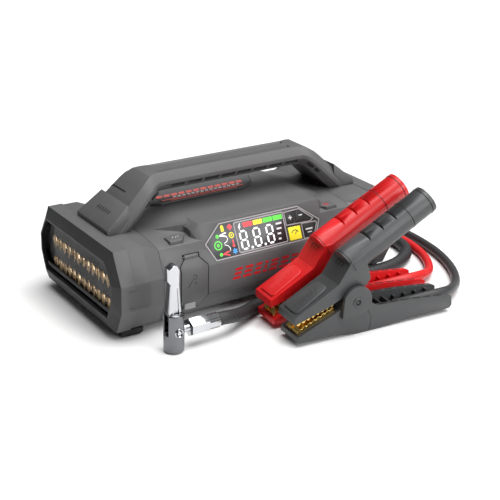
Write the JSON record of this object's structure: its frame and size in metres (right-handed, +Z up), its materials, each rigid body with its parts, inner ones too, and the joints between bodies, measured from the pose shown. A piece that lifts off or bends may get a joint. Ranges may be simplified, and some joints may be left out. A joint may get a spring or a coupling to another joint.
{
  "type": "jump starter pack",
  "caption": "Portable jump starter pack with carry handle, display, work lamp, air pump with a hose and tyre chuck, and sprung battery clamps on cables.",
  "frame": {"origin": "under the middle of the pack, on the surface it stands on", "axes": "+X along the handle away from the lamp, -Y towards the display, +Z up"},
  "size_m": [0.3518, 0.229, 0.1126],
  "materials": {
    "grey_shell": "fine textured grey plastic",
    "dark_shell": "fine textured dark grey plastic",
    "black_plastic": "matt black plastic",
    "gloss_overlay": "smoked gloss sheet",
    "yellow_key": "lit yellow key",
    "label": "printed label sheet",
    "lens": "clear lens",
    "reflector": "metallised reflector with gold tint",
    "led": "LED board, pale yellow chips",
    "circuit": "green circuit board",
    "rubber": "matt black rubber",
    "cable_red": "smooth red sheath",
    "cable_black": "smooth black sheath",
    "hose_braid": "black braided cover",
    "clamp_red": "satin red plastic",
    "clamp_black": "satin black plastic",
    "jaw_gold": "gold plated teeth",
    "steel": "bare steel",
    "chrome": "bright chrome",
    "aluminium": "cast aluminium",
    "brass_gear": "cut brass",
    "battery_blue": "blue shrink sleeve"
  },
  "bodies": {
    "pack": {"display_overlay": "gloss_overlay", "display_module": "circuit", "upper_shell": "grey_shell", "lower_shell": "dark_shell", "left_end_frame": "grey_shell", "right_end_frame": "grey_shell", "handle": "grey_shell", "handle_socket_left": "dark_shell", "handle_socket_right": "dark_shell", "lamp_lens": "lens", "lamp_reflector": "reflector", "led_board": "led", "right_end_cover": "dark_shell", "red_cable_gland": "clamp_red", "black_cable_gland": "black_plastic", "hose_fitting": "chrome", "label_plate": "label", "door_hinge_pin": "steel", "accessory_pocket": "black_plastic", "foot_front_left": "rubber", "foot_front_right": "rubber", "foot_rear_left": "rubber", "foot_rear_right": "rubber", "battery_tray": "black_plastic", "battery_pack_lower": "battery_blue", "battery_pack_upper": "battery_blue", "main_board": "circuit", "pump_motor": "steel", "pump_cylinder": "aluminium", "air_hose": "hose_braid", "red_cable": "cable_red", "black_cable": "cable_black", "chuck_body": "chrome", "chuck_pin": "chrome", "hose_ferrule": "chrome", "black_lower_arm": "clamp_black", "black_pivot_bolt": "clamp_black", "black_lower_jaw": "jaw_gold", "black_spring": "steel", "red_lower_arm": "clamp_red", "red_pivot_bolt": "clamp_red", "red_lower_jaw": "jaw_gold", "red_spring": "steel"},
    "black_handle": {"black_upper_arm": "clamp_black", "black_upper_jaw": "jaw_gold"},
    "red_handle": {"red_upper_arm": "clamp_red", "red_upper_jaw": "jaw_gold"},
    "lever": {"chuck_lever": "chrome"},
    "door": {"accessory_door": "grey_shell"},
    "power": {"power_button": "grey_shell"},
    "light": {"light_button": "grey_shell"},
    "plus": {"key_plus": "black_plastic"},
    "minus": {"key_minus": "black_plastic"},
    "mode": {"key_mode": "yellow_key"},
    "pump_key": {"key_pump": "black_plastic"},
    "crank": {"crank_gear": "steel"},
    "pinion": {"motor_pinion": "brass_gear"},
    "piston_rod": {"piston": "aluminium", "connecting_rod": "steel"}
  },
  "joints": [
    {"name": "black_clamp_open", "type": "hinge", "parent": "pack", "child": "black_handle", "pos_m": [0.03106, -0.13653, 0.03], "axis": [0.0958, 0.9954, 0], "range_deg": [0, 28], "stiffness_Nm_per_rad": 2.4, "springref_deg": -28.65},
    {"name": "red_clamp_open", "type": "hinge", "parent": "pack", "child": "red_handle", "pos_m": [0.03366, -0.10093, 0.03], "axis": [0.0958, 0.9954, 0], "range_deg": [0, 28], "stiffness_Nm_per_rad": 2.4, "springref_deg": -28.65},
    {"name": "chuck_lever_flip", "type": "hinge", "parent": "pack", "child": "lever", "pos_m": [-0.1065, -0.097, 0.018], "axis": [0, -1, 0], "range_deg": [0, 90]},
    {"name": "accessory_door_swing", "type": "hinge", "parent": "pack", "child": "door", "pos_m": [-0.0693, -0.0601, 0.0569], "axis": [-1, 0, 0], "range_deg": [0, 100]},
    {"name": "power_button_press", "type": "slide", "parent": "pack", "child": "power", "axis": [0, 0, -1], "range_m": [0, 0.0012], "stiffness_N_per_m": 400, "springref_m": -0.0015},
    {"name": "light_button_press", "type": "slide", "parent": "pack", "child": "light", "axis": [0, 0, -1], "range_m": [0, 0.0012], "stiffness_N_per_m": 400, "springref_m": -0.0015},
    {"name": "plus_key_press", "type": "slide", "parent": "pack", "child": "plus", "axis": [0, 0.9067, -0.4217], "range_m": [0, 0.0006], "stiffness_N_per_m": 400, "springref_m": -0.0015},
    {"name": "minus_key_press", "type": "slide", "parent": "pack", "child": "minus", "axis": [0, 0.9067, -0.4217], "range_m": [0, 0.0006], "stiffness_N_per_m": 400, "springref_m": -0.0015},
    {"name": "mode_key_press", "type": "slide", "parent": "pack", "child": "mode", "axis": [0, 0.9067, -0.4217], "range_m": [0, 0.0006], "stiffness_N_per_m": 400, "springref_m": -0.0015},
    {"name": "pump_key_press", "type": "slide", "parent": "pack", "child": "pump_key", "axis": [0, 0.9067, -0.4217], "range_m": [0, 0.0006], "stiffness_N_per_m": 400, "springref_m": -0.0015},
    {"name": "crank_spin", "type": "hinge", "parent": "pack", "child": "crank", "pos_m": [0.0766, -0.0066, 0.03], "axis": [1, 0, 0], "continuous": true},
    {"name": "pinion_spin", "type": "hinge", "parent": "pack", "child": "pinion", "pos_m": [0.0761, 0.014, 0.03], "axis": [1, 0, 0], "continuous": true},
    {"name": "piston_slide", "type": "slide", "parent": "pack", "child": "piston_rod", "axis": [0, -1, 0], "range_m": [0, 0.0114]}
  ],
  "couplings": [
    {"joint": "pinion_spin", "follows": "crank_spin", "ratio": -3.3333}
  ]
}
